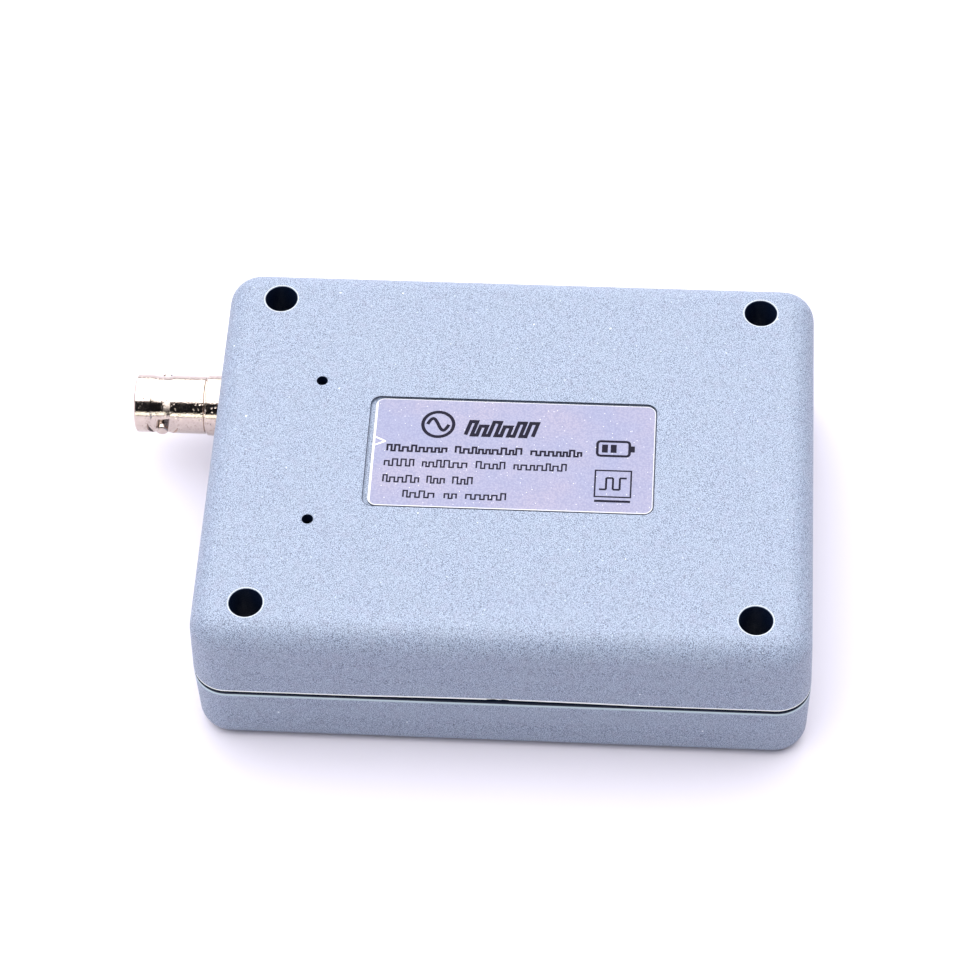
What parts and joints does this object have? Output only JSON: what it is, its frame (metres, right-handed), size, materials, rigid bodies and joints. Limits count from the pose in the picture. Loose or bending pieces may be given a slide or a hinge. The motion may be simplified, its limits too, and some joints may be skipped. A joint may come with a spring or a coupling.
{
  "type": "frequency counter",
  "caption": "Hand-held frequency counter lying on its display side: drafted two-part plastic case, side coaxial input connector, back rating label and screw wells.",
  "frame": {"origin": "centre of the rim round the display panel, on the surface that the instrument lies on", "axes": "+X along the case away from the input connector, +Y across the case towards the connector's long edge, +Z out of the back cover"},
  "size_m": [0.1123, 0.075, 0.0283],
  "materials": {
    "blue_grey_plastic": "fine spark-eroded satin",
    "overlay_film": "satin printed film",
    "clear_window": "gloss",
    "key_plastic": "satin",
    "label_foil": "satin metallised film, dark print",
    "nickel": "nickel plated, turned",
    "insulator_white": "smooth",
    "contact_gold": "gold plated",
    "screw_steel": "dark zinc",
    "circuit_board": "solder resist",
    "black_plastic": "moulded",
    "sheet_metal": "tinned sheet",
    "display_glass": "polarised, unlit",
    "light_guide": "frosted",
    "battery_wrap": "shrink film",
    "foam_tape": "closed-cell foam",
    "white_nylon": "moulded",
    "trimmer_blue": "moulded",
    "rotor_white": "moulded",
    "lead_red": "smooth",
    "lead_black": "smooth",
    "lamp_lens": "translucent"
  },
  "bodies": {
    "case": {"back_cover": "blue_grey_plastic", "front_housing": "blue_grey_plastic", "front_overlay": "overlay_film", "display_window": "clear_window", "rating_label": "label_foil", "case_screws": "screw_steel", "bnc_body": "nickel", "bnc_insulator": "insulator_white", "bnc_contact": "contact_gold", "main_board": "circuit_board", "display_board": "circuit_board", "display_bezel": "sheet_metal", "display_glass": "display_glass", "display_light_guide": "light_guide", "display_header": "black_plastic", "display_pins": "sheet_metal", "display_screws": "screw_steel", "power_switch_body": "sheet_metal", "charging_jack": "black_plastic", "charging_jack_pin": "nickel", "screening_can": "sheet_metal", "prescaler_chip": "black_plastic", "microcontroller": "black_plastic", "quartz_crystal": "sheet_metal", "voltage_regulator": "black_plastic", "filter_capacitors": "sheet_metal", "battery_pack": "battery_wrap", "battery_tape": "foam_tape", "battery_socket": "white_nylon", "battery_plug": "white_nylon", "battery_lead_red": "lead_red", "battery_lead_black": "lead_black", "charging_lamp": "lamp_lens", "range_switch": "sheet_metal", "hold_switch": "sheet_metal", "backlight_switch": "sheet_metal", "gain_trimmer_body": "trimmer_blue", "reference_trimmer_body": "trimmer_blue"},
    "power_slider": {"power_switch_slider": "black_plastic"},
    "range_button": {"range_key": "key_plastic", "range_plunger": "black_plastic"},
    "hold_button": {"hold_key": "key_plastic", "hold_plunger": "black_plastic"},
    "backlight_button": {"backlight_key": "key_plastic", "backlight_plunger": "black_plastic"},
    "gain_rotor": {"gain_trimmer_rotor": "rotor_white"},
    "reference_rotor": {"reference_trimmer_rotor": "rotor_white"}
  },
  "joints": [
    {"name": "power_switch_slide", "type": "slide", "parent": "case", "child": "power_slider", "axis": [0, 1, 0], "range_m": [0, 0.002]},
    {"name": "range_key_press", "type": "slide", "parent": "case", "child": "range_button", "axis": [0, 0, 1], "range_m": [0, 0.00035], "stiffness_N_per_m": 1000, "springref_m": -0.0003},
    {"name": "hold_key_press", "type": "slide", "parent": "case", "child": "hold_button", "axis": [0, 0, 1], "range_m": [0, 0.00035], "stiffness_N_per_m": 1000, "springref_m": -0.0003},
    {"name": "backlight_key_press", "type": "slide", "parent": "case", "child": "backlight_button", "axis": [0, 0, 1], "range_m": [0, 0.00035], "stiffness_N_per_m": 1000, "springref_m": -0.0003},
    {"name": "gain_trimmer_turn", "type": "hinge", "parent": "case", "child": "gain_rotor", "pos_m": [-0.0313, 0.0135, 0.0148], "axis": [0, 0, 1], "range_deg": [-130, 130]},
    {"name": "reference_trimmer_turn", "type": "hinge", "parent": "case", "child": "reference_rotor", "pos_m": [-0.0313, -0.0141, 0.0148], "axis": [0, 0, 1], "continuous": true}
  ]
}
